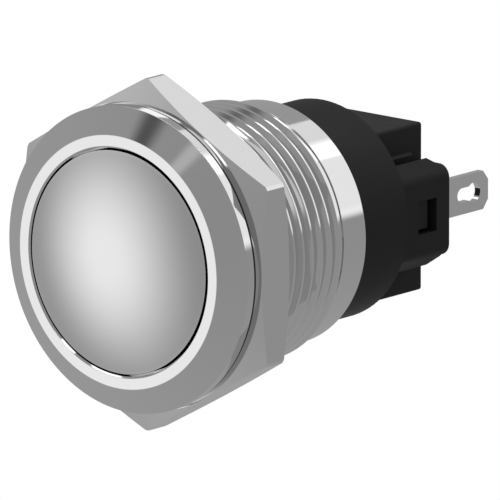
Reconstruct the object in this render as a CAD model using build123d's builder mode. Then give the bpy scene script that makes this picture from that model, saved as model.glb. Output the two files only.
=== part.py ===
from build123d import *
import os
from math import asin, cos, radians, sin, tan

# A 19 mm metal push-button switch for a panel: a turned steel barrel with a domed
# button in its front, a hexagon nut and a washer to hold it in the panel, and a black
# contact block behind it with two solder terminals.
#
# Millimetres. The switch's axis is +Y and its button faces -Y. The origin is on the
# axis, in the rear face of the front bezel, where that seats on the panel. +Z is up.
# Sketches across the axis are drawn on Plane.XZ, which faces the front, so a negative
# offset moves them to the rear and a negative amount of extrusion runs to the rear.

os.makedirs("parts", exist_ok=True)

# Front bezel: a flat ring, a cone and a rim
bezel_radius = 11.0
bezel_height = 1.97
bezel_rim_length = 0.89
bezel_edge_fillet = 0.06
cone_width = 1.92
ring_width = 0.79
ring_edge_chamfer = 0.12

# Barrel behind the bezel: a thread and a plain band. Where the nut is on, the two threads
# meet at their pitch radius, and behind it the thread's crests stand free.
bezel_overhang = 1.6
thread_half_depth = 0.22
thread_length = 12.3
band_step = 0.6
band_length = 2.4
barrel_end_chamfer = 0.12
barrel_rear_wall = 0.83
clip_bore_wall = 1.6
guide_bore_wall = 2.3
guide_bore_length = 5.1

# Thin rubber gasket, steel washer and nut
gasket_inset = 0.1
gasket_thickness = 0.26
washer_inset = 0.1
washer_thickness = 0.33
nut_overhang = 0.06
nut_thickness = 3.0
nut_corner_cut = 0.085
nut_face_inset = 0.03
nut_chamfer_angle = 19.5
thread_clearance = 0.03

# Button: a domed cap with a hollow stem
button_travel = 1.6
press_stop_clearance = 0.15
cap_gap = 0.12
cap_recess = 0.05
cap_edge_length = 1.2
cap_edge_fillet = 0.08
dome_height = 1.45
stem_clearance = 0.1
stem_bore_radius = 4.2
stem_solid_length = 3.45
stem_shoulder = 0.62
stem_end_clearance = 0.6

# Seal in the stem's first groove, its round section drawn with flat sides
seal_sides = 8
seal_section = 1.02
seal_setback = 1.9
seal_side_clearance = 0.12
seal_clearance = 0.05

# Ring in the stem's second groove, which keeps the button in the barrel
clip_seat_gap = 0.1
clip_groove_depth = 0.55
clip_thickness = 0.6
clip_clearance = 0.04
clip_rim_clearance = 0.2
clip_opening_angle = 50
clip_hole_radius = 0.25

# Plunger, pressed into the stem
press_clearance = 0.03
plunger_flange_length = 1.55
plunger_radius = 2.3
plunger_solid_length = 2.82
plunger_bore_radius = 1.45
plunger_reach = 0.9
guide_clearance = 0.05

# Pusher, which slides in the plunger and rocks the contact blade
overtravel_spring_length = 2.6
pusher_guide_length = 2.8
pusher_rod_radius = 0.95
pusher_tip_fillet = 0.75
pusher_travel = 0.75
pusher_gap = 0.1

# Springs: the wire, drawn with flat sides, the radius of its centre line and the turns
spring_end_clearance = 0.04
wire_sides = 6
return_spring_wire = 0.5
return_spring_radius = 3.2
return_spring_turns = 5
overtravel_spring_wire = 0.28
overtravel_spring_radius = 1.0
overtravel_spring_turns = 4.5
blade_spring_wire = 0.24
blade_spring_radius = 0.9
blade_spring_turns = 7

# Contact housing: a round body in the barrel and a square block behind it
joint_clearance = 0.05
housing_collar_length = 5.65
housing_front_wall = 2.35
spring_seat_depth = 0.75
spring_seat_radius = 3.9
block_half_width = 4.88
block_half_height = 6.11
block_length = 5.26
block_fillet = 0.22
block_side_wall = 0.83
block_top_wall = 0.88
side_pad_height = 0.2
side_pad_half_height = 4.15
side_pad_setback = 0.32

# Seal between the housing and the barrel
housing_seal_section = 0.7
housing_seal_setback = 1.05

# Terminal base: a bridge across the rear, two side arms, and a plug inside the block
arm_inset = 0.57
arm_wall = 1.13
arm_half_height = 3.88
arm_chamfer = 1.07
arm_fillet = 0.92
arm_slope_length = 0.81
arm_end_setback = 0.44
bridge_half_height = 3.32
bridge_thickness = 1.05
bridge_overhang = 0.02
plug_length = 2.05

# Windows in the arms, and the latches of the housing that stand in them
window_setback = 1.8
window_length = 2.03
window_half_height = 1.195
latch_clearance = 0.06
latch_inset = 0.3
latch_crown_length = 1.15
latch_nose_radius = 0.45
latch_length = 1.75
latch_gap_below = 0.275
latch_gap_above = 0.045

# Terminals, bent from strip
terminal_thickness = 0.5
terminal_half_height = 1.4
terminal_length = 7.2
terminal_x = 4.73
terminal_corner_length = 0.55
terminal_corner_height = 0.68
terminal_hole_radius = 0.73
terminal_hole_setback = 1.61
terminal_slot_width = 1.04
terminal_slot_length = 1.82
strip_wall_gap = 0.2
strip_half_height = 1.2

# Pivot of the contact blade, in two ears of the common terminal
pivot_setback = 4.5
pivot_offset = 0.6
pivot_radius = 0.35
pivot_clearance = 0.03
pivot_overhang = 0.15
ear_thickness = 0.4
ear_gap = 0.1
ear_reach = 0.7
ear_web_setback = 1.1
ear_web_length = 0.8

# Contact blade and contacts
blade_thickness = 0.3
blade_half_height = 1.4
blade_wall_gap = 0.45
blade_eye_wall = 0.37
contact_setback = 1.3
contact_radius = 0.6
moving_contact_height = 0.5
moving_contact_fillet = 0.3
fixed_contact_height = 0.4
rivet_radius = 0.3
rivet_tail_radius = 0.5
rivet_tail_height = 0.15
pressed_contact_gap = 0.12
contact_plate_reach = 0.8

# Rib in the chamber that the blade rests on until the button is pressed
stop_rib_overlap = 0.55
stop_rib_half_height = 1.0
stop_gap = 0.05

# Places along the axis, from the front to the rear
bezel_front = -bezel_height
cap_front = bezel_front + cap_recess
cap_back = cap_front + cap_edge_length
guide_bore_start = cap_back + button_travel + press_stop_clearance
guide_bore_end = guide_bore_start + guide_bore_length
seal_groove_start = guide_bore_start + seal_setback
seal_groove_end = seal_groove_start + seal_section + 2 * seal_side_clearance
clip_groove_start = guide_bore_end + clip_seat_gap
clip_groove_end = clip_groove_start + clip_thickness + 2 * clip_clearance
stem_end = clip_groove_end + stem_shoulder
stem_bore_start = cap_back + stem_solid_length
plunger_start = stem_bore_start + press_clearance
plunger_flange_end = plunger_start + plunger_flange_length
plunger_bore_start = plunger_flange_end + plunger_solid_length
housing_seat = stem_end + button_travel + stem_end_clearance
housing_front = housing_seat + joint_clearance
spring_floor = housing_front + spring_seat_depth
chamber_start = housing_front + housing_front_wall
plunger_end = chamber_start + plunger_reach
pusher_start = plunger_bore_start + overtravel_spring_length
pusher_guide_end = pusher_start + pusher_guide_length
pivot_y = chamber_start + pivot_setback
blade_front = pivot_y - blade_thickness / 2
blade_rear = pivot_y + blade_thickness / 2
pusher_end = blade_front - pusher_gap
ear_web_start = pivot_y + ear_web_setback
ear_web_end = ear_web_start + ear_web_length
barrel_end = thread_length + band_length
housing_round_end = barrel_end + housing_collar_length
arm_start = housing_round_end + joint_clearance
window_start = arm_start + window_setback
latch_start = window_start + latch_clearance
block_end = housing_round_end + block_length
bridge_end = block_end + bridge_overhang
bridge_start = bridge_end - bridge_thickness
plug_start = bridge_start - plug_length
arm_end = bridge_end - arm_end_setback
terminal_leg_y = bridge_end - terminal_thickness
terminal_end = bridge_end + terminal_length
terminal_hole_y = terminal_end - terminal_hole_setback
terminal_slot_start = terminal_hole_y - terminal_slot_length
nut_start = gasket_thickness + washer_thickness
nut_end = nut_start + nut_thickness
free_thread_start = nut_end + joint_clearance

# Places across the axis
ring_outer_radius = bezel_radius - cone_width
ring_bore_radius = ring_outer_radius - ring_width - ring_edge_chamfer
thread_radius = bezel_radius - bezel_overhang
thread_pitch_radius = thread_radius - thread_half_depth
band_radius = thread_radius - band_step
clip_bore_radius = band_radius - clip_bore_wall
guide_bore_radius = band_radius - guide_bore_wall
cap_radius = ring_bore_radius - cap_gap
stem_radius = guide_bore_radius - stem_clearance
clip_inner_radius = stem_radius - clip_groove_depth
housing_bore_radius = band_radius - barrel_rear_wall
housing_radius = housing_bore_radius - joint_clearance
washer_bore_radius = thread_radius + joint_clearance
washer_outer_radius = bezel_radius - washer_inset
gasket_outer_radius = bezel_radius - gasket_inset
nut_across_flats = 2 * (bezel_radius + nut_overhang)
nut_corner_radius = nut_across_flats / (2 * cos(radians(30))) - nut_corner_cut
nut_face_radius = nut_across_flats / 2 - nut_face_inset
chamber_half_width = block_half_width - block_side_wall
chamber_half_height = block_half_height - block_top_wall
side_pad_x = block_half_width + side_pad_height
arm_outer = housing_radius - arm_inset
arm_inner = arm_outer - arm_wall
latch_crown_x = arm_outer - latch_inset
strip_x = chamber_half_width - strip_wall_gap - terminal_thickness / 2
pivot_x = pivot_offset - strip_x
blade_tip_x = chamber_half_width - blade_wall_gap
contact_x = blade_tip_x - contact_setback
stop_rib_x = blade_tip_x - stop_rib_overlap
ear_inner = blade_half_height + ear_gap
ear_outer = ear_inner + ear_thickness

# The blade's turn when the button is pressed, and the fixed contact that it reaches
blade_angle = asin(pusher_travel / -pivot_x)
moving_contact_reach = blade_thickness / 2 + moving_contact_height
blade_lift = (contact_x - pivot_x) * sin(blade_angle)
fixed_contact_tip = pivot_y + blade_lift + moving_contact_reach + pressed_contact_gap
plate_start = fixed_contact_tip + fixed_contact_height
plate_end = plate_start + terminal_thickness


def rear_plane(y):
    """A plane across the switch's axis at y. It faces the front, with Z up."""
    return Plane.XZ.offset(-y)


def side_plane(x):
    """A plane facing +X at x, whose own X runs to the rear and whose own Y runs up."""
    return Plane(origin=(x, 0, 0), x_dir=(0, 1, 0), z_dir=(1, 0, 0))


def span(x_range, y_range):
    """A rectangle between two pairs of limits."""
    with Locations((sum(x_range) / 2, sum(y_range) / 2)):
        Rectangle(x_range[1] - x_range[0], y_range[1] - y_range[0])


def turned_ring(radii, y_range, mode=Mode.ADD):
    """A ring about the switch's axis between two radii."""
    with BuildSketch(Plane.XY) as section:
        span(radii, y_range)
    revolve(section.sketch, axis=Axis.Y, mode=mode)


def coil(y_range, radius, wire, turns):
    """The wire of a compression spring about the switch's axis, between two seats."""
    length = y_range[1] - y_range[0] - wire - 2 * spring_end_clearance
    with BuildLine() as path:
        Helix(
            pitch=length / turns,
            height=length,
            radius=radius,
            center=(0, y_range[0] + wire / 2 + spring_end_clearance, 0),
            direction=(0, 1, 0),
        )
    with BuildSketch(Plane(origin=path.line @ 0, z_dir=path.line % 0)) as section:
        RegularPolygon(wire / 2, wire_sides)
    sweep(section.sketch, path=path.line)


def solder_tab(x, y_start):
    """A flat tab outside the base, with chamfered corners and a keyhole for the wire."""
    shoulder = terminal_end - terminal_corner_length
    low = terminal_half_height - terminal_corner_height
    slot_center = terminal_slot_start + terminal_slot_width / 2
    with BuildSketch(side_plane(x - terminal_thickness / 2)) as outline:
        with BuildLine():
            Polyline(
                (y_start, -terminal_half_height),
                (shoulder, -terminal_half_height),
                (terminal_end, -low),
                (terminal_end, low),
                (shoulder, terminal_half_height),
                (y_start, terminal_half_height),
                close=True,
            )
        make_face()
        with Locations((terminal_hole_y, 0)):
            Circle(terminal_hole_radius, mode=Mode.SUBTRACT)
        with Locations((slot_center, 0)):
            Circle(terminal_slot_width / 2, mode=Mode.SUBTRACT)
        with Locations(((slot_center + terminal_hole_y) / 2, 0)):
            Rectangle(terminal_hole_y - slot_center, terminal_slot_width, mode=Mode.SUBTRACT)
    extrude(outline.sketch, amount=terminal_thickness)


def side_terminal(side, strip_start):
    """A tab on one side of the base, its leg through the bridge and its strip in the block."""
    half = terminal_thickness / 2
    solder_tab(side * terminal_x, terminal_leg_y - half)
    strip_range = sorted((side * (strip_x - half), side * (strip_x + half)))
    leg_range = sorted((side * (strip_x - half), side * (terminal_x + half)))
    with BuildSketch(Plane.XY) as bend:
        span(leg_range, (terminal_leg_y - half, terminal_leg_y + half))
        span(strip_range, (strip_start, terminal_leg_y))
    extrude(bend.sketch, amount=strip_half_height, both=True)


def rivet_hole(y_range):
    """The hole for a contact's shank, through a plate across the switch's axis."""
    with BuildSketch(rear_plane(y_range[0])) as hole:
        with Locations((contact_x, 0)):
            Circle(rivet_radius)
    extrude(hole.sketch, amount=y_range[0] - y_range[1], mode=Mode.SUBTRACT)


def rivet(stages):
    """A rivet on the contacts' line, as cylinders that each have a radius and two limits."""
    for radius, start, end in stages:
        with BuildSketch(rear_plane(start)) as disc:
            with Locations((contact_x, 0)):
                Circle(radius)
        extrude(disc.sketch, amount=start - end)


# Bezel and barrel, turned from one bar
with BuildPart() as bezel_barrel:
    with BuildSketch(Plane.XY):
        with BuildLine():
            Polyline(
                (ring_bore_radius, bezel_front + ring_edge_chamfer),
                (ring_bore_radius + ring_edge_chamfer, bezel_front),
                (ring_outer_radius, bezel_front),
                (bezel_radius, -bezel_rim_length),
                (bezel_radius, 0),
                (thread_pitch_radius, 0),
                (thread_pitch_radius, free_thread_start),
                (thread_radius, free_thread_start),
                (thread_radius, thread_length),
                (band_radius, thread_length + thread_radius - band_radius),
                (band_radius, barrel_end - barrel_end_chamfer),
                (band_radius - barrel_end_chamfer, barrel_end),
                (housing_bore_radius, barrel_end),
                (housing_bore_radius, housing_seat),
                (clip_bore_radius, housing_seat),
                (clip_bore_radius, guide_bore_end),
                (guide_bore_radius, guide_bore_end),
                (guide_bore_radius, guide_bore_start),
                (ring_bore_radius, guide_bore_start),
                close=True,
            )
        make_face()
    revolve(axis=Axis.Y)
    rim_edges = bezel_barrel.edges().filter_by(
        lambda edge: edge.geom_type == GeomType.CIRCLE and abs(edge.radius - bezel_radius) < 0.001
    )
    fillet(rim_edges, bezel_edge_fillet)

# Gasket behind the bezel, and a washer between it and the nut
with BuildPart() as panel_gasket:
    turned_ring((washer_bore_radius, gasket_outer_radius), (0, gasket_thickness))

with BuildPart() as panel_washer:
    turned_ring((washer_bore_radius, washer_outer_radius), (gasket_thickness, nut_start))

# Hexagon nut: the two cones that chamfer its faces also cut its corners back
with BuildPart() as hex_nut:
    with BuildSketch(rear_plane(nut_start)):
        RegularPolygon(nut_across_flats / 2, 6, major_radius=False, rotation=30)
        Circle(thread_pitch_radius + thread_clearance, mode=Mode.SUBTRACT)
    extrude(amount=-nut_thickness)
    nut_cone_length = (nut_corner_radius - nut_face_radius) * tan(radians(nut_chamfer_angle))
    with BuildSketch(Plane.XY):
        with BuildLine():
            Polyline(
                (0, nut_start),
                (nut_face_radius, nut_start),
                (nut_corner_radius, nut_start + nut_cone_length),
                (nut_corner_radius, nut_end - nut_cone_length),
                (nut_face_radius, nut_end),
                (0, nut_end),
                close=True,
            )
        make_face()
    revolve(axis=Axis.Y, mode=Mode.INTERSECT)

# Domed cap with its hollow stem, turned from one bar
with BuildPart() as button_cap:
    dome_edge = (cap_radius - cap_edge_fillet, cap_front)
    with BuildSketch(Plane.XY):
        with BuildLine():
            TangentArc((0, cap_front - dome_height), dome_edge, tangent=(1, 0))
            Polyline(
                dome_edge,
                (cap_radius, cap_front + cap_edge_fillet),
                (cap_radius, cap_back),
                (stem_radius, cap_back),
                (stem_radius, stem_end),
                (stem_bore_radius, stem_end),
                (stem_bore_radius, stem_bore_start),
                (0, stem_bore_start),
                (0, cap_front - dome_height),
            )
        make_face()
    revolve(axis=Axis.Y)
    seal_groove_radius = guide_bore_radius - seal_clearance - seal_section
    turned_ring((seal_groove_radius, stem_radius), (seal_groove_start, seal_groove_end), Mode.SUBTRACT)
    turned_ring((clip_inner_radius, stem_radius), (clip_groove_start, clip_groove_end), Mode.SUBTRACT)

# Seal ring on the stem
with BuildPart() as stem_seal:
    seal_y = (seal_groove_start + seal_groove_end) / 2
    with BuildSketch(Plane.XY):
        with Locations((seal_groove_radius + seal_section / 2, seal_y)):
            RegularPolygon(seal_section / 2, seal_sides)
    revolve(axis=Axis.Y)

# Retaining ring on the stem, open at the top, with a plier hole in each end
with BuildPart() as retaining_ring:
    clip_bore = clip_inner_radius + clip_clearance / 2
    clip_outer = clip_bore_radius - clip_rim_clearance
    clip_middle = (clip_bore + clip_outer) / 2
    clip_ends = (90 - clip_opening_angle / 2, 90 + clip_opening_angle / 2)
    with BuildSketch(rear_plane(clip_groove_start + clip_clearance)):
        with BuildLine():
            CenterArc((0, 0), clip_middle, clip_ends[1], 360 - clip_opening_angle)
            offset(amount=(clip_outer - clip_bore) / 2)
        make_face()
        with PolarLocations(clip_middle, 2, start_angle=clip_ends[0], angular_range=clip_opening_angle):
            Circle(clip_hole_radius, mode=Mode.SUBTRACT)
    extrude(amount=-clip_thickness)

# Plastic plunger: a flange pressed into the stem and a hollow rod
with BuildPart() as plunger:
    plunger_flange_radius = stem_bore_radius - press_clearance
    turned_ring((0, plunger_flange_radius), (plunger_start, plunger_flange_end))
    turned_ring((0, plunger_radius), (plunger_flange_end, plunger_end))
    turned_ring((0, plunger_bore_radius), (plunger_bore_start, plunger_end), Mode.SUBTRACT)

# Pusher: a guide that slides in the plunger's bore, and a rod with a round tip
with BuildPart() as contact_pusher:
    turned_ring((0, plunger_bore_radius - guide_clearance), (pusher_start, pusher_guide_end))
    turned_ring((0, pusher_rod_radius), (pusher_guide_end, pusher_end))
    tip_edge = contact_pusher.edges().sort_by(Axis.Y)[-1]
    fillet(tip_edge, pusher_tip_fillet)

# Springs
with BuildPart() as return_spring:
    coil(
        (plunger_flange_end, spring_floor),
        return_spring_radius,
        return_spring_wire,
        return_spring_turns,
    )

with BuildPart() as overtravel_spring:
    coil(
        (plunger_bore_start, pusher_start),
        overtravel_spring_radius,
        overtravel_spring_wire,
        overtravel_spring_turns,
    )

with BuildPart() as blade_spring:
    coil((blade_rear, plug_start), blade_spring_radius, blade_spring_wire, blade_spring_turns)

# Contact housing, moulded in one: round body, square block, side pads and latches
with BuildPart() as contact_housing:
    with BuildSketch(rear_plane(housing_front)):
        Circle(housing_radius)
    extrude(amount=housing_front - housing_round_end)
    with BuildSketch(rear_plane(housing_round_end)):
        Rectangle(2 * block_half_width, 2 * block_half_height)
    extrude(amount=housing_round_end - block_end)
    block_sides = contact_housing.edges().filter_by(Axis.Y)
    block_sides = block_sides.filter_by(lambda edge: edge.center().Y > housing_round_end)
    fillet(block_sides + contact_housing.faces().sort_by(Axis.Y)[-1].edges(), block_fillet)
    with BuildSketch(rear_plane(housing_round_end)):
        with BuildLine():
            Polyline(
                (block_half_width, -side_pad_half_height),
                (side_pad_x, -side_pad_half_height + side_pad_height),
                (side_pad_x, side_pad_half_height - side_pad_height),
                (block_half_width, side_pad_half_height),
                close=True,
            )
        make_face()
        mirror(about=Plane.YZ)
    extrude(amount=housing_round_end - bridge_start + side_pad_setback)
    latch_bottom = latch_gap_below - window_half_height
    latch_top = window_half_height - latch_gap_above
    with BuildSketch(Plane.XY.offset(latch_bottom)):
        with BuildLine():
            crown_end = (latch_crown_x, latch_start + latch_crown_length)
            nose_end = (latch_crown_x - latch_nose_radius, crown_end[1] + latch_nose_radius)
            latch_foot = (side_pad_x, latch_start + latch_length)
            Polyline((side_pad_x, latch_start), (latch_crown_x, latch_start), crown_end)
            TangentArc(crown_end, nose_end, tangent=(0, 1))
            Polyline(nose_end, latch_foot, (side_pad_x, latch_start))
        make_face()
        mirror(about=Plane.YZ)
    extrude(amount=latch_top - latch_bottom)
    with BuildSketch(rear_plane(chamber_start)):
        Rectangle(2 * chamber_half_width, 2 * chamber_half_height)
    extrude(amount=chamber_start - block_end, mode=Mode.SUBTRACT)
    with BuildSketch(rear_plane(chamber_start)):
        span((stop_rib_x, chamber_half_width), (-stop_rib_half_height, stop_rib_half_height))
    extrude(amount=chamber_start - blade_front + stop_gap)
    with BuildSketch(rear_plane(bridge_start - joint_clearance)):
        Rectangle(2 * arm_outer, 2 * (bridge_half_height + joint_clearance))
    extrude(amount=bridge_start - joint_clearance - block_end, mode=Mode.SUBTRACT)
    turned_ring((0, spring_seat_radius), (housing_front, spring_floor), Mode.SUBTRACT)
    turned_ring((0, plunger_radius + guide_clearance), (spring_floor, chamber_start), Mode.SUBTRACT)
    housing_seal_radius = housing_radius - housing_seal_section + joint_clearance / 2
    housing_seal_start = housing_front + housing_seal_setback
    housing_seal_end = housing_seal_start + housing_seal_section + 2 * seal_side_clearance
    turned_ring(
        (housing_seal_radius, housing_radius),
        (housing_seal_start, housing_seal_end),
        Mode.SUBTRACT,
    )

# Seal ring between the housing and the barrel
with BuildPart() as housing_seal:
    housing_seal_y = (housing_seal_start + housing_seal_end) / 2
    with BuildSketch(Plane.XY):
        with Locations((housing_seal_radius + housing_seal_section / 2, housing_seal_y)):
            RegularPolygon(housing_seal_section / 2, seal_sides)
    revolve(axis=Axis.Y)

# Common terminal, with a web and two ears that hold the blade's pivot
with BuildPart() as common_terminal:
    side_terminal(-1, ear_web_start)
    strip_outer = -strip_x - terminal_thickness / 2
    with BuildSketch(Plane.XY):
        span((strip_outer, strip_outer + terminal_thickness), (ear_web_start, ear_web_end))
    extrude(amount=ear_outer, both=True)
    with BuildSketch(Plane.XY.offset(ear_inner)) as ear_outline:
        span((strip_outer, pivot_x + ear_reach), (pivot_y - ear_reach, ear_web_end))
        with Locations((pivot_x, pivot_y)):
            Circle(pivot_radius, mode=Mode.SUBTRACT)
    extrude(amount=ear_thickness)
    with BuildSketch(Plane.XY.offset(-ear_outer)):
        add(ear_outline.sketch_local)
    extrude(amount=ear_thickness)

# Pivot pin through the ears and the blade's eye
with BuildPart() as blade_pivot:
    with BuildSketch(Plane.XY):
        with Locations((pivot_x, pivot_y)):
            Circle(pivot_radius)
    extrude(amount=ear_outer + pivot_overhang, both=True)

# Contact blade, curled into an eye at its pivot
with BuildPart() as contact_blade:
    eye_bore = pivot_radius + pivot_clearance
    with BuildSketch(Plane.XY):
        span((pivot_x, blade_tip_x), (blade_front, blade_rear))
        with Locations((pivot_x, pivot_y)):
            Circle(eye_bore + blade_eye_wall)
            Circle(eye_bore, mode=Mode.SUBTRACT)
    extrude(amount=blade_half_height, both=True)
    rivet_hole((blade_front, blade_rear))

# Moving contact: a rivet through the blade with a domed head behind it
with BuildPart() as moving_contact:
    rivet(
        (
            (rivet_tail_radius, blade_front - rivet_tail_height, blade_front),
            (rivet_radius, blade_front, blade_rear),
            (contact_radius, blade_rear, blade_rear + moving_contact_height),
        )
    )
    head_rim = moving_contact.edges().filter_by(GeomType.CIRCLE).group_by(Axis.Y)[-1]
    fillet(head_rim, moving_contact_fillet)

# Contact terminal, whose foot carries the fixed contact behind the blade
with BuildPart() as contact_terminal:
    side_terminal(1, plate_start)
    with BuildSketch(Plane.XY):
        span((contact_x - contact_plate_reach, strip_x), (plate_start, plate_end))
    extrude(amount=strip_half_height, both=True)
    rivet_hole((plate_start, plate_end))

with BuildPart() as fixed_contact:
    rivet(
        (
            (contact_radius, fixed_contact_tip, plate_start),
            (rivet_radius, plate_start, plate_end),
            (rivet_tail_radius, plate_end, plate_end + rivet_tail_height),
        )
    )

# Terminal base, moulded around the two terminals
with BuildPart() as terminal_base:
    with BuildSketch(rear_plane(arm_start)):
        with BuildLine():
            Polyline(
                (arm_inner, -arm_half_height),
                (arm_outer - arm_chamfer, -arm_half_height),
                (arm_outer, -arm_half_height + arm_chamfer),
                (arm_outer, arm_half_height - arm_chamfer),
                (arm_outer - arm_chamfer, arm_half_height),
                (arm_inner, arm_half_height),
                close=True,
            )
        arm_face = make_face()
        fillet(arm_face.vertices().group_by(Axis.X)[-1], arm_fillet)
        mirror(about=Plane.YZ)
    extrude(amount=arm_start - arm_end)
    with BuildSketch(side_plane(-arm_outer)):
        with BuildLine():
            Polyline(
                (arm_end - arm_slope_length, arm_half_height),
                (arm_end, bridge_half_height),
                (arm_end, arm_half_height),
                close=True,
            )
        make_face()
        mirror(about=Plane.XZ)
        span((window_start, window_start + window_length), (-window_half_height, window_half_height))
    extrude(amount=2 * arm_outer, mode=Mode.SUBTRACT)
    with BuildSketch(rear_plane(bridge_start)):
        RectangleRounded(2 * arm_outer, 2 * bridge_half_height, arm_fillet)
    extrude(amount=bridge_start - bridge_end)
    with BuildSketch(rear_plane(plug_start)):
        Rectangle(
            2 * (chamber_half_width - joint_clearance),
            2 * (chamber_half_height - joint_clearance),
        )
    extrude(amount=plug_start - bridge_start)
    add(common_terminal.part, mode=Mode.SUBTRACT)
    add(contact_terminal.part, mode=Mode.SUBTRACT)

pieces = {
    "bezel_barrel": bezel_barrel,
    "panel_gasket": panel_gasket,
    "panel_washer": panel_washer,
    "hex_nut": hex_nut,
    "button_cap": button_cap,
    "stem_seal": stem_seal,
    "retaining_ring": retaining_ring,
    "plunger": plunger,
    "contact_pusher": contact_pusher,
    "return_spring": return_spring,
    "overtravel_spring": overtravel_spring,
    "blade_spring": blade_spring,
    "contact_housing": contact_housing,
    "housing_seal": housing_seal,
    "common_terminal": common_terminal,
    "blade_pivot": blade_pivot,
    "contact_blade": contact_blade,
    "moving_contact": moving_contact,
    "contact_terminal": contact_terminal,
    "fixed_contact": fixed_contact,
    "terminal_base": terminal_base,
}
for piece_name, piece in pieces.items():
    piece.part.label = piece_name
    export_step(piece.part, f"parts/{piece_name}.step")
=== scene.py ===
from math import asin, cos, pi, radians, sin

import bmesh
import bpy
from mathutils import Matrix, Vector


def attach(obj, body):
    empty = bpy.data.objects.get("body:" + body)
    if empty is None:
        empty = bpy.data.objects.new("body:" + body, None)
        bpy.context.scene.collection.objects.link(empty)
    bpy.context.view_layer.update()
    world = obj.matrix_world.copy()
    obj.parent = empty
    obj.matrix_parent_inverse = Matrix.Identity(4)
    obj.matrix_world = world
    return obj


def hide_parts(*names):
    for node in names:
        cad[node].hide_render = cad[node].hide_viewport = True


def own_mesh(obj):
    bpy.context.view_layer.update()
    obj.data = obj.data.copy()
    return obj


# A metal push-button switch for a panel. Its axis is +Y and the button faces -Y.
# Sizes are in millimetres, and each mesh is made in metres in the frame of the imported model.

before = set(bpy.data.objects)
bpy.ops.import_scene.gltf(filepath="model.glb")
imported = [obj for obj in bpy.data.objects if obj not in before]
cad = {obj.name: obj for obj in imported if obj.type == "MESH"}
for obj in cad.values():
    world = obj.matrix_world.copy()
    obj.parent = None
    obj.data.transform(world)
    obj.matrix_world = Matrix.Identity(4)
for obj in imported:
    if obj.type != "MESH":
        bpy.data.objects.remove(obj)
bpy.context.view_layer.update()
MM = 0.001


# The studio: grey all round, with a bright wall and a strip light behind, a large soft light in
# front, and small lamps and dark screens that the polished edges mirror. The camera itself sees
# white, and a white floor that nothing is lit or shaded by.

def add_node(tree, kind, values=None, **settings):
    """A node with its settings, and its inputs set to numbers or joined to sockets."""
    item = tree.nodes.new(kind)
    for name, value in settings.items():
        setattr(item, name, value)
    for key, value in (values or {}).items():
        if isinstance(value, bpy.types.NodeSocket):
            tree.links.new(value, item.inputs[key])
        else:
            item.inputs[key].default_value = value
    return item


world = bpy.data.worlds.new("studio")
bpy.context.scene.world = world
world.use_nodes = True
studio = world.node_tree
studio.nodes.clear()
ray = add_node(studio, "ShaderNodeTexCoord").outputs["Generated"]
ray_parts = add_node(studio, "ShaderNodeSeparateXYZ", {0: ray}).outputs


def soft_step(value, low, high):
    """0 below low and 1 above high, with a smooth change between. High may be the lower."""
    flip = high < low
    step = add_node(
        studio,
        "ShaderNodeMapRange",
        {"Value": value, "From Min": min(low, high), "From Max": max(low, high),
         "To Min": float(flip), "To Max": float(not flip)},
        interpolation_type="SMOOTHSTEP",
    )
    return step.outputs["Result"]


def both(first, second):
    """A mask that is 1 where both masks are."""
    product = add_node(studio, "ShaderNodeMath", {0: first, 1: second}, operation="MULTIPLY")
    return product.outputs[0]


def patch(level, mask, brightness):
    """The level so far, with a patch of some brightness laid over it where the mask is 1."""
    mix = add_node(studio, "ShaderNodeMix", {"Factor": mask, "A": level, "B": brightness})
    return mix.outputs["Result"]


def lobe(direction, inner, outer):
    """A round patch about a direction, whole within the inner angle and gone at the outer one."""
    towards = add_node(
        studio, "ShaderNodeVectorMath", {0: ray, 1: Vector(direction).normalized()},
        operation="DOT_PRODUCT",
    )
    angle = add_node(
        studio, "ShaderNodeMath", {0: towards.outputs["Value"]}, operation="ARCCOSINE"
    )
    return soft_step(angle.outputs[0], radians(outer), radians(inner))


grey_level = 0.34
grey_slope = (-0.035, 0.012, -0.02)
slope = add_node(studio, "ShaderNodeVectorMath", {0: ray, 1: grey_slope}, operation="DOT_PRODUCT")
level = add_node(
    studio, "ShaderNodeMath", {0: slope.outputs["Value"], 1: grey_level}, operation="ADD"
).outputs[0]

# The wall behind gets brighter to the right in steps, with the strip light between two of them.
behind = soft_step(ray_parts["Y"], 0.58, 0.70)
above = soft_step(ray_parts["Z"], 0.03, 0.185)
wall = both(behind, above)
level = patch(level, wall, 0.37)
level = patch(level, both(wall, soft_step(ray_parts["X"], -0.25, -0.22)), 0.86)
wall_right = both(wall, soft_step(ray_parts["Y"], 0.90, 0.80))
level = patch(level, both(wall_right, soft_step(ray_parts["X"], 0.04, 0.16)), 1.5)
level = patch(level, both(wall_right, soft_step(ray_parts["X"], 0.28, 0.30)), 0.985)

# A low lamp in front of the wall is seen only in the fronts of the thread's crests.
crest_lamp = both(above, soft_step(ray_parts["Y"], 0.56, 0.58))
crest_lamp = both(crest_lamp, soft_step(ray_parts["Y"], 0.728, 0.72))
crest_lamp = both(crest_lamp, soft_step(ray_parts["X"], -0.26, -0.25))
crest_lamp = both(crest_lamp, soft_step(ray_parts["X"], -0.06, -0.08))
level = patch(level, crest_lamp, 1.7)

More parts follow.
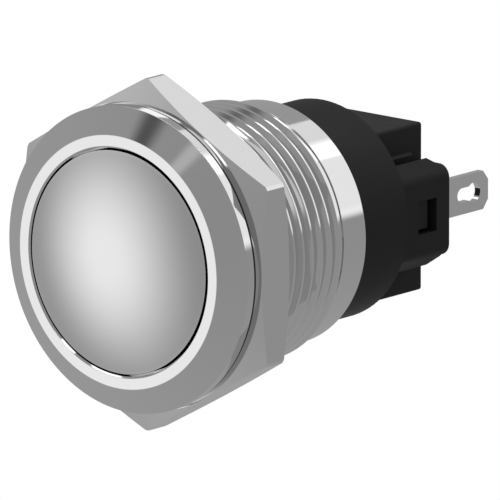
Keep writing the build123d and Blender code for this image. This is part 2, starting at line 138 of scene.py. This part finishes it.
# Round patches: the large soft light on the dome, a dark screen and a faint lamp on the cone,
# and four lamps above that the rim, the thread and the edge of the ring mirror.
for direction, inner, outer, brightness in (
    ((-0.633, -0.754, -0.174), 3.2, 40.5, 1.035),
    ((-0.446, -0.692, 0.562), 1.0, 8.5, 0.10),
    ((-0.114, -0.849, 0.509), 1.0, 4.8, 0.52),
    ((0.08, -0.745, 0.66), 8.0, 10.0, 2.6),
    ((-0.45, -0.20, 0.87), 14.0, 17.0, 1.5),
    ((-0.18, 0.26, 0.95), 9.0, 12.0, 2.0),
    ((0.10, -0.54, 0.835), 6.5, 8.0, 1.5),
):
    level = patch(level, lobe(direction, inner, outer), brightness)
soft_shell = add_node(studio, "ShaderNodeBackground", {"Color": (1, 1, 1, 1), "Strength": level})
white_shell = add_node(studio, "ShaderNodeBackground", {"Color": (1, 1, 1, 1), "Strength": 1.0})
camera_ray = add_node(studio, "ShaderNodeLightPath").outputs["Is Camera Ray"]
shell = add_node(
    studio, "ShaderNodeMixShader",
    {0: camera_ray, 1: soft_shell.outputs[0], 2: white_shell.outputs[0]},
)
add_node(studio, "ShaderNodeOutputWorld", {0: shell.outputs[0]})

floor_reach, floor_drop = 3.0, 0.030
floor_corners = [
    (x * floor_reach, y * floor_reach, -floor_drop) for x, y in ((-1, -1), (1, -1), (1, 1), (-1, 1))
]
floor_mesh = bpy.data.meshes.new("floor")
floor_mesh.from_pydata(floor_corners, [], [(0, 1, 2, 3)])
floor = bpy.data.objects.new("floor", floor_mesh)
bpy.context.scene.collection.objects.link(floor)
floor_paint = bpy.data.materials.new("white_floor")
floor_paint.use_nodes = True
floor_tree = floor_paint.node_tree
floor_tree.nodes.clear()
floor_white = add_node(floor_tree, "ShaderNodeEmission", {"Strength": 1.0})
add_node(floor_tree, "ShaderNodeOutputMaterial", {0: floor_white.outputs[0]})
floor_mesh.materials.append(floor_paint)
floor.visible_glossy = False
floor.visible_diffuse = False
floor.visible_shadow = False


# The camera stands in front, to the right and a little above, and is far off, so that its
# view has almost no perspective.

aim = Vector((-0.086, 12.518, -1.666)) * MM
towards_camera = Vector((0.6282, -0.7448, 0.2250)).normalized()
view_width = 35.36 * MM
camera_data = bpy.data.cameras.new("camera")
camera_data.lens = 1500
camera_data.sensor_width = 36
camera_data.clip_start = 0.1
camera_data.clip_end = 20
camera = bpy.data.objects.new("camera", camera_data)
bpy.context.scene.collection.objects.link(camera)
camera_distance = view_width * camera_data.lens / camera_data.sensor_width
camera.location = aim + towards_camera * camera_distance
camera.rotation_euler = (-towards_camera).to_track_quat("-Z", "Y").to_euler()
bpy.context.scene.camera = camera
bpy.context.scene.view_settings.view_transform = "Standard"


# Bezel and barrel: one piece of stainless steel, turned from bar and polished. It has a flat
# ring, a cone and a short rim in front, an M19 x 1 thread behind them, and a plain band that
# the thread runs out into. Its bores are the CAD node's own.

def eased(points, sizes, steps=6):
    """The points of a closed profile, with some corners rounded by a short curve.

    A point just before and just after each curve keeps the shading of the flats clean.
    """
    overrun = 1.2
    out = []
    for i, point in enumerate(points):
        size = sizes.get(i)
        corner = Vector(point)
        if not size:
            out.append(corner)
            continue
        back = (Vector(points[i - 1]) - corner).normalized() * size
        ahead = (Vector(points[(i + 1) % len(points)]) - corner).normalized() * size
        out.append(corner + back * overrun)
        for k in range(steps + 1):
            t = k / steps
            out.append(corner + back * (1 - t) ** 2 + ahead * t * t)
        out.append(corner + ahead * overrun)
    return out


def show(name, mesh_data, body, crease=25):
    """A finished mesh as an object on a body, smooth but for edges past the crease angle."""
    mesh_data.polygons.foreach_set("use_smooth", [True] * len(mesh_data.polygons))
    mesh_data.set_sharp_from_angle(angle=radians(crease))
    piece = bpy.data.objects.new(name, mesh_data)
    bpy.context.scene.collection.objects.link(piece)
    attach(piece, body)
    return piece


def ring_of_points(work, radius, height, count):
    """Vertices round the axis, or a single one where the radius is 0."""
    if radius < 1e-6:
        return [work.verts.new((0, height * MM, 0))]
    return [
        work.verts.new((radius * cos(a) * MM, height * MM, radius * sin(a) * MM))
        for a in (2 * pi * k / count for k in range(count))
    ]


def join_rings(work, first, second):
    """Faces between two rings, or between a ring and a single point."""
    count = max(len(first), len(second))
    for k in range(count):
        corners = []
        for ring, index in ((first, k), (first, k + 1), (second, k + 1), (second, k)):
            vertex = ring[index % len(ring)]
            if vertex not in corners:
                corners.append(vertex)
        if len(corners) > 2:
            work.faces.new(corners)


def turned(name, profile, count=256, closed=True):
    """A mesh turned about the axis from the points (radius, place along the axis)."""
    work = bmesh.new()
    rings = [ring_of_points(work, radius, height, count) for radius, height in profile]
    pairs = list(zip(rings, rings[1:]))
    if closed:
        pairs.append((rings[-1], rings[0]))
    for first, second in pairs:
        join_rings(work, first, second)
    bmesh.ops.recalc_face_normals(work, faces=work.faces)
    turned_mesh = bpy.data.meshes.new(name)
    work.to_mesh(turned_mesh)
    work.free()
    return turned_mesh


# The thread's rows of points follow a right-hand helix, so that its crests have clean edges.
# The form gives each row's place in the pitch and its height, 0 at the root and 1 at the crest.
pitch = 1.0
crest_radius, root_radius = 9.4, 8.718
thread_form = [(0.0815, 0), (0.4865, 0.98), (0.5915, 1), (0.6715, 1)]
crest_middle = 0.58
columns = 448

# The ridge sinks into the root over a short way, just in front of a narrow end groove and the
# step up to the plain band.
thread_start, thread_end = 0.59, 12.25
ridge_end, ridge_fade = 11.85, 0.08
end_groove_radius, band_radius = 8.608, 8.80

work = bmesh.new()
rows_per_turn = len(thread_form)
spare_turns = 4
turns_needed = int((thread_end - thread_start) / pitch) + spare_turns
row_count = rows_per_turn * turns_needed
grid = []
for c in range(columns):
    turn = c / columns
    angle = 2 * pi * turn
    line = []
    for row in range(row_count):
        whole, step = divmod(row, rows_per_turn)
        offset, height = thread_form[step]
        place = thread_start + pitch * (whole - 1 - turn + offset)
        crest_place = thread_start + pitch * (whole - 1 - turn + crest_middle)
        fade = min(max((ridge_end - crest_place) / ridge_fade, 0.0), 1.0)
        radius = root_radius + (crest_radius - root_radius) * height * fade
        if place <= thread_start:
            place, radius = thread_start, crest_radius
        elif place >= thread_end:
            radius = band_radius if place >= thread_end + pitch else end_groove_radius
            place = thread_end
        point = (radius * cos(angle) * MM, place * MM, radius * sin(angle) * MM)
        line.append(work.verts.new(point))
    grid.append(line)
for c in range(columns):
    for row in range(row_count - 1):
        if c < columns - 1:
            right_low, right_high = grid[c + 1][row], grid[c + 1][row + 1]
        else:
            shifted = row - rows_per_turn
            if shifted < 0:
                continue
            right_low, right_high = grid[0][shifted], grid[0][shifted + 1]
        work.faces.new((grid[c][row], right_low, right_high, grid[c][row + 1]))

# The rest is a closed profile: the band, the bores from the rear to the front, then the ring,
# the cone and the rim. The easing is given by the corner's number in the profile.
bezel_front, barrel_end = -1.97, 14.7
housing_bore, housing_seat = 7.97, 9.73
ring_bore, ring_seat = 7.2, 6.13
stem_bore, cap_seat = 6.5, 1.03
cap_bore, cap_bore_break = 8.17, 0.12
ring_radius = 9.08
bezel_radius, cone_end, rim_break = 11.0, -0.89, 0.15
profile = eased(
    [
        (band_radius, thread_end), (band_radius, barrel_end), (housing_bore, barrel_end),
        (housing_bore, housing_seat), (ring_bore, housing_seat), (ring_bore, ring_seat),
        (stem_bore, ring_seat), (stem_bore, cap_seat), (cap_bore, cap_seat),
        (cap_bore, bezel_front + cap_bore_break), (cap_bore + cap_bore_break, bezel_front),
        (ring_radius, bezel_front), (bezel_radius, cone_end), (bezel_radius, -rim_break),
        (bezel_radius - rim_break, 0.0), (crest_radius, 0.0), (crest_radius, thread_start),
    ],
    {1: 0.10, 2: 0.05, 10: 0.02, 11: 0.035, 12: 0.02, 13: 0.02},
)
rings = [ring_of_points(work, radius, height, columns) for radius, height in profile]
for first, second in zip(rings, rings[1:]):
    join_rings(work, first, second)
same_place, no_length = 2e-7, 1e-8
bmesh.ops.remove_doubles(work, verts=work.verts, dist=same_place)
bmesh.ops.dissolve_degenerate(work, edges=work.edges, dist=no_length)
bmesh.ops.recalc_face_normals(work, faces=work.faces)
barrel_mesh = bpy.data.meshes.new("barrel")
work.to_mesh(barrel_mesh)
work.free()
barrel = show("barrel", barrel_mesh, "housing")
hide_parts("bezel_barrel")


def new_group(name, inputs, outputs):
    """An empty shader node group with named inputs and outputs."""
    group = bpy.data.node_groups.new(name, "ShaderNodeTree")
    for label, kind, value in inputs:
        socket = group.interface.new_socket(label, in_out="INPUT", socket_type=kind)
        if value is not None:
            socket.default_value = value
    for label, kind in outputs:
        group.interface.new_socket(label, in_out="OUTPUT", socket_type=kind)
    return group


# The turned finish of every metal piece: fine grooves round the axis, which the noise gets from
# the distance to the axis and the place along it, and faint cloudy wear.
turned_finish = new_group(
    "turned_finish",
    [("Grooves per mm", "NodeSocketFloat", 14.0), ("Wear", "NodeSocketFloat", 0.5),
     ("Roughness", "NodeSocketFloat", 0.15)],
    [("Height", "NodeSocketFloat"), ("Roughness", "NodeSocketFloat"), ("Shade", "NodeSocketFloat")],
)
group_in = add_node(turned_finish, "NodeGroupInput").outputs
place = add_node(turned_finish, "ShaderNodeTexCoord").outputs["Object"]
place_parts = add_node(turned_finish, "ShaderNodeSeparateXYZ", {0: place}).outputs
flat_place = add_node(
    turned_finish, "ShaderNodeCombineXYZ", {"X": place_parts["X"], "Y": place_parts["Z"]}
)
reach = add_node(
    turned_finish, "ShaderNodeVectorMath", {0: flat_place.outputs[0]}, operation="LENGTH"
)
lathe_place = add_node(
    turned_finish, "ShaderNodeCombineXYZ", {"X": reach.outputs["Value"], "Y": place_parts["Y"]}
)
in_mm = add_node(
    turned_finish, "ShaderNodeVectorMath", {0: lathe_place.outputs[0], "Scale": 1000.0},
    operation="SCALE",
)
grooves = add_node(
    turned_finish, "ShaderNodeTexNoise",
    {"Vector": in_mm.outputs[0], "Scale": group_in["Grooves per mm"], "Detail": 2.0},
)
cloud = add_node(
    turned_finish, "ShaderNodeTexNoise", {"Vector": place, "Scale": 260.0, "Detail": 4.0}
)
worn = add_node(
    turned_finish, "ShaderNodeMapRange",
    {"Value": cloud.outputs["Fac"], "From Min": 0.35, "From Max": 0.75, "To Min": 0.0,
     "To Max": group_in["Wear"]},
)
rougher = add_node(
    turned_finish, "ShaderNodeMath",
    {0: worn.outputs[0], 1: 0.12, 2: group_in["Roughness"]}, operation="MULTIPLY_ADD",
)
shade = add_node(
    turned_finish, "ShaderNodeMapRange",
    {"Value": worn.outputs[0], "From Min": 0.0, "From Max": 1.0, "To Min": 1.0, "To Max": 0.94},
)
add_node(
    turned_finish, "NodeGroupOutput",
    {"Height": grooves.outputs["Fac"], "Roughness": rougher.outputs[0], "Shade": shade.outputs[0]},
)


def turned_metal(name, colour, grooves_per_mm, wear, roughness, groove_depth):
    """A metal with the turned finish. The depth of its grooves is in millimetres."""
    material = bpy.data.materials.new(name)
    material.use_nodes = True
    tree = material.node_tree
    tree.nodes.clear()
    finish = add_node(tree, "ShaderNodeGroup", node_tree=turned_finish)
    finish.inputs["Grooves per mm"].default_value = grooves_per_mm
    finish.inputs["Wear"].default_value = wear
    finish.inputs["Roughness"].default_value = roughness
    tint = add_node(
        tree, "ShaderNodeMix",
        {6: (0, 0, 0, 1), 7: (*colour, 1), "Factor": finish.outputs["Shade"]}, data_type="RGBA",
    )
    bump = add_node(
        tree, "ShaderNodeBump",
        {"Height": finish.outputs["Height"], "Strength": 1.0, "Distance": groove_depth * MM},
    )
    metal = add_node(
        tree, "ShaderNodeBsdfPrincipled",
        {"Base Color": tint.outputs[2], "Metallic": 1.0, "Roughness": finish.outputs["Roughness"],
         "Normal": bump.outputs[0]},
    )
    add_node(tree, "ShaderNodeOutputMaterial", {0: metal.outputs[0]})
    return material


steel_colour = (0.78, 0.78, 0.785)
barrel_steel = turned_metal(
    "barrel_steel", steel_colour, grooves_per_mm=12.0, wear=0.25, roughness=0.055,
    groove_depth=0.00003,
)
barrel_mesh.materials.append(barrel_steel)


# Gasket and seals: rings moulded from black rubber. The gasket is flat and lies between the bezel
# and the washer, and the seals lie in grooves on the button's stem and on the contact housing.

def moulded(name, colour, roughness, grain_size, grain_depth, specular=0.4):
    """A moulded plastic or rubber with a fine grain, whose size and depth are in millimetres."""
    material = bpy.data.materials.new(name)
    material.use_nodes = True
    tree = material.node_tree
    tree.nodes.clear()
    spot = add_node(tree, "ShaderNodeTexCoord").outputs["Object"]
    grain = add_node(
        tree, "ShaderNodeTexNoise", {"Vector": spot, "Scale": 1000 / grain_size, "Detail": 3.0}
    )
    patches = add_node(tree, "ShaderNodeTexNoise", {"Vector": spot, "Scale": 180.0, "Detail": 3.0})
    dull = add_node(
        tree, "ShaderNodeMapRange",
        {"Value": patches.outputs["Fac"], "From Min": 0.3, "From Max": 0.7,
         "To Min": roughness - 0.05, "To Max": roughness + 0.07},
    )
    tone = add_node(
        tree, "ShaderNodeMix",
        {6: (*[c * 0.8 for c in colour], 1), 7: (*[c * 1.2 for c in colour], 1),
         "Factor": patches.outputs["Fac"]}, data_type="RGBA",
    )
    bump = add_node(
        tree, "ShaderNodeBump",
        {"Height": grain.outputs["Fac"], "Strength": 0.6, "Distance": grain_depth * MM},
    )
    plastic = add_node(
        tree, "ShaderNodeBsdfPrincipled",
        {"Base Color": tone.outputs[2], "Roughness": dull.outputs[0], "Normal": bump.outputs[0],
         "Specular IOR Level": specular},
    )
    add_node(tree, "ShaderNodeOutputMaterial", {0: plastic.outputs[0]})
    return material


def finish_node(node, material):
    """Gives a CAD node's mesh its material."""
    cad[node].data.materials.clear()
    cad[node].data.materials.append(material)


smooth_rubber = moulded(
    "smooth_rubber", (0.006, 0.006, 0.006), roughness=0.12, grain_size=0.08, grain_depth=0.001,
    specular=0.6,
)
finish_node("panel_gasket", smooth_rubber)
black_rubber = moulded(
    "black_rubber", (0.012, 0.012, 0.012), roughness=0.6, grain_size=0.08, grain_depth=0.004
)
for rubber_node in ("stem_seal", "housing_seal"):
    finish_node(rubber_node, black_rubber)


# Nut: a hexagon nut of the same polished steel, chamfered on both faces and screwed on the
# barrel's thread up to the washer.

nut_steel = turned_metal(
    "nut_steel", steel_colour, grooves_per_mm=9.0, wear=0.25, roughness=0.055,
    groove_depth=0.00003,
)
finish_node("hex_nut", nut_steel)


# Washer: a flat ring of darker steel, loose on the barrel between the gasket and the nut. A thin
# lip on its rim reaches forward over the gasket.

washer_steel = turned_metal(
    "washer_steel", (0.56, 0.56, 0.56), grooves_per_mm=9.0, wear=0.25, roughness=0.07,
    groove_depth=0.00003,
)
washer_bore, washer_radius, lip_radius = 9.45, 10.93, 10.91
lip_front, washer_front, washer_back = 0.10, 0.26, thread_start
washer_mesh = turned(
    "washer",
    [
        (washer_bore, washer_front), (lip_radius, washer_front), (lip_radius, lip_front),
        (washer_radius, lip_front), (washer_radius, washer_back), (washer_bore, washer_back),
    ],
)
washer_mesh.materials.append(washer_steel)
washer = show("washer", washer_mesh, "housing")
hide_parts("panel_washer")


# Button: one turned piece of polished steel, a domed cap on a hollow stem. It slides in the
# barrel with a narrow gap round it, and grooves in its stem hold the seal and the retaining ring.

cap_steel = turned_metal(
    "cap_steel", steel_colour, grooves_per_mm=10.0, wear=0.25, roughness=0.06,
    groove_depth=0.00003,
)
dome_edge_radius, dome_height = 7.94, 1.45
cap_setback, cap_thickness = 0.05, 1.2
dome_edge = bezel_front + cap_setback
cap_radius, cap_back = 8.02, dome_edge + cap_thickness
edge_break, edge_depth = 0.02, 0.08
stem_radius, stem_end = 6.4, 7.53
hollow_radius, hollow_start = 4.2, 2.73
seal_groove_radius, seal_groove = 5.43, (2.93, 4.19)
clip_groove_radius, clip_groove = 5.85, (6.23, 6.91)
dome_radius = (dome_edge_radius ** 2 + dome_height ** 2) / (2 * dome_height)
dome_tilt = asin(dome_edge_radius / dome_radius)
dome_steps = 40
cap_profile = [
    (dome_radius * sin(dome_tilt * k / dome_steps),
     dome_edge - dome_height + dome_radius * (1 - cos(dome_tilt * k / dome_steps)))
    for k in range(dome_steps + 1)
]
cap_profile += [
    (cap_radius - edge_break, dome_edge + edge_break), (cap_radius, dome_edge + edge_depth),
    (cap_radius, cap_back), (stem_radius, cap_back),
]
for groove_radius, groove in (
    (seal_groove_radius, seal_groove), (clip_groove_radius, clip_groove),
):
    cap_profile += [
        (stem_radius, groove[0]), (groove_radius, groove[0]),
        (groove_radius, groove[1]), (stem_radius, groove[1]),
    ]
cap_profile += [
    (stem_radius, stem_end), (hollow_radius, stem_end),
    (hollow_radius, hollow_start), (0, hollow_start),
]
cap_mesh = turned("cap", cap_profile, closed=False)
cap = show("cap", cap_mesh, "button")
cap_mesh.materials.append(cap_steel)
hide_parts("button_cap")


# Inside the barrel: the retaining ring, stamped from spring steel, holds the button in. The
# plunger, pressed in the stem, and the pusher are of white plastic, and the blade turns on a
# steel pin.

spring_steel = turned_metal(
    "spring_steel", (0.6, 0.6, 0.61), grooves_per_mm=20.0, wear=0.2, roughness=0.25,
    groove_depth=0.0001,
)
for steel_node in ("retaining_ring", "blade_pivot"):
    finish_node(steel_node, spring_steel)
white_plastic = moulded(
    "white_plastic", (0.72, 0.71, 0.67), roughness=0.5, grain_size=0.1, grain_depth=0.002
)
for plastic_node in ("plunger", "contact_pusher"):
    finish_node(plastic_node, white_plastic)


# Springs: three compression springs of round steel wire, wound with a closed coil at each end.
# The wide one returns the button, and the thin ones press on the pusher and on the blade.

coil_nodes = bpy.data.node_groups.new("coil", "GeometryNodeTree")
coil_sockets = {
    label: coil_nodes.interface.new_socket(label, in_out="INPUT", socket_type=kind).identifier
    for label, kind in (
        ("Start", "NodeSocketFloat"), ("Length", "NodeSocketFloat"), ("Radius", "NodeSocketFloat"),
        ("Wire", "NodeSocketFloat"), ("Turns", "NodeSocketFloat"), ("Metal", "NodeSocketMaterial"),
    )
}
coil_nodes.interface.new_socket("Geometry", in_out="OUTPUT", socket_type="NodeSocketGeometry")
given = add_node(coil_nodes, "NodeGroupInput").outputs


def worked(operation, *values):
    """The result of a sum in the coil's nodes."""
    return add_node(
        coil_nodes, "ShaderNodeMath", dict(enumerate(values)), operation=operation
    ).outputs[0]


def rise(turn, first, last, amount):
    """The climb of the wire over some turns."""
    climb = add_node(
        coil_nodes, "ShaderNodeMapRange",
        {"Value": turn, "From Min": first, "From Max": last, "To Max": amount},
    )
    return climb.outputs["Result"]


points_per_turn, wire_sides = 32.0, 18
wire_line = add_node(coil_nodes, "GeometryNodeCurvePrimitiveLine", {"End": (0, 1, 0)})
wire_points = add_node(
    coil_nodes, "GeometryNodeResampleCurve",
    {"Curve": wire_line.outputs[0], "Count": worked("MULTIPLY", given["Turns"], points_per_turn)},
)
along = add_node(coil_nodes, "GeometryNodeSplineParameter").outputs["Factor"]
turn_now = worked("MULTIPLY", along, given["Turns"])
winding = worked("MULTIPLY", turn_now, 2 * pi)
last_turn = worked("SUBTRACT", given["Turns"], 1.0)
free_length = worked("MULTIPLY_ADD", given["Wire"], -3.0, given["Length"])
height = worked("MULTIPLY_ADD", given["Wire"], 0.5, given["Start"])
height = worked("ADD", height, rise(turn_now, 0.0, 1.0, given["Wire"]))
height = worked("ADD", height, rise(turn_now, 1.0, last_turn, free_length))
height = worked("ADD", height, rise(turn_now, last_turn, given["Turns"], given["Wire"]))
wire_place = add_node(
    coil_nodes, "ShaderNodeCombineXYZ",
    {"X": worked("MULTIPLY", worked("COSINE", winding), given["Radius"]), "Y": height,
     "Z": worked("MULTIPLY", worked("SINE", winding), given["Radius"])},
)
wound = add_node(
    coil_nodes, "GeometryNodeSetPosition",
    {"Geometry": wire_points.outputs[0], "Position": wire_place.outputs[0]},
)
wire_round = add_node(
    coil_nodes, "GeometryNodeCurvePrimitiveCircle",
    {"Resolution": wire_sides, "Radius": worked("MULTIPLY", given["Wire"], 0.5)},
)
wire_mesh = add_node(
    coil_nodes, "GeometryNodeCurveToMesh",
    {"Curve": wound.outputs[0], "Profile Curve": wire_round.outputs[0], "Fill Caps": True},
)
realized = add_node(coil_nodes, "GeometryNodeRealizeInstances", {0: wire_mesh.outputs[0]})
painted = add_node(
    coil_nodes, "GeometryNodeSetMaterial",
    {"Geometry": realized.outputs[0], "Material": given["Metal"]},
)
add_node(coil_nodes, "NodeGroupOutput", {0: painted.outputs[0]})

# The last two values of each spring are the place of its fixed end, and the share of its length
# that is left when the button is in.
for spring_node, body, joint, start, end, radius, wire, turns, anchor, keep in (
    ("return_spring", "housing", "button_press", 4.35, 10.49, 3.2, 0.5, 5.0, 10.53, 0.743),
    ("overtravel_spring", "pusher", "button_press", 7.17, 9.69, 1.0, 0.28, 4.5, 9.73, 0.673),
    ("blade_spring", "housing", "blade_rock", 16.82, 22.49, 0.9, 0.24, 7.0, 22.53, 0.81),
):
    blank = bpy.data.objects.new("blank", bpy.data.meshes.new("blank"))
    bpy.context.scene.collection.objects.link(blank)
    winder = blank.modifiers.new("coil", "NODES")
    winder.node_group = coil_nodes
    for label, value in (
        ("Start", start * MM), ("Length", (end - start) * MM), ("Radius", radius * MM),
        ("Wire", wire * MM), ("Turns", turns), ("Metal", spring_steel),
    ):
        winder[coil_sockets[label]] = value
    bpy.context.view_layer.update()
    view_graph = bpy.context.evaluated_depsgraph_get()
    spring_mesh = bpy.data.meshes.new_from_object(blank.evaluated_get(view_graph))
    blank.modifiers.clear()
    bpy.data.objects.remove(blank)
    spring = show(spring_node + "_wire", spring_mesh, body)
    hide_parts(spring_node)
    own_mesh(spring)


# Contact housing and terminal base: moulded from black plastic with a fine satin grain. The
# housing's round end sits in the barrel, and the base latches on its rear.

black_plastic = moulded(
    "black_plastic", (0.0205, 0.0205, 0.0205), roughness=0.5, grain_size=0.12,
    grain_depth=0.002, specular=0.14,
)
for plastic_node in ("contact_housing", "terminal_base"):
    finish_node(plastic_node, black_plastic)


# Terminals and contacts: two terminals bent from brass strip and plated with tin, a bronze blade
# in the eyes of one of them, and silver contacts riveted to the blade and to the other.

terminal_tin = turned_metal(
    "terminal_tin", (0.78, 0.78, 0.775), grooves_per_mm=6.0, wear=0.3, roughness=0.1,
    groove_depth=0.00005,
)
for terminal_node in ("common_terminal", "contact_terminal"):
    finish_node(terminal_node, terminal_tin)
blade_bronze = turned_metal(
    "blade_bronze", (0.72, 0.5, 0.33), grooves_per_mm=8.0, wear=0.4, roughness=0.25,
    groove_depth=0.0001,
)
finish_node("contact_blade", blade_bronze)
contact_silver = turned_metal(
    "contact_silver", (0.85, 0.85, 0.84), grooves_per_mm=8.0, wear=0.5, roughness=0.25,
    groove_depth=0.0001,
)
for contact_node in ("moving_contact", "fixed_contact"):
    finish_node(contact_node, contact_silver)


bpy.context.view_layer.update()
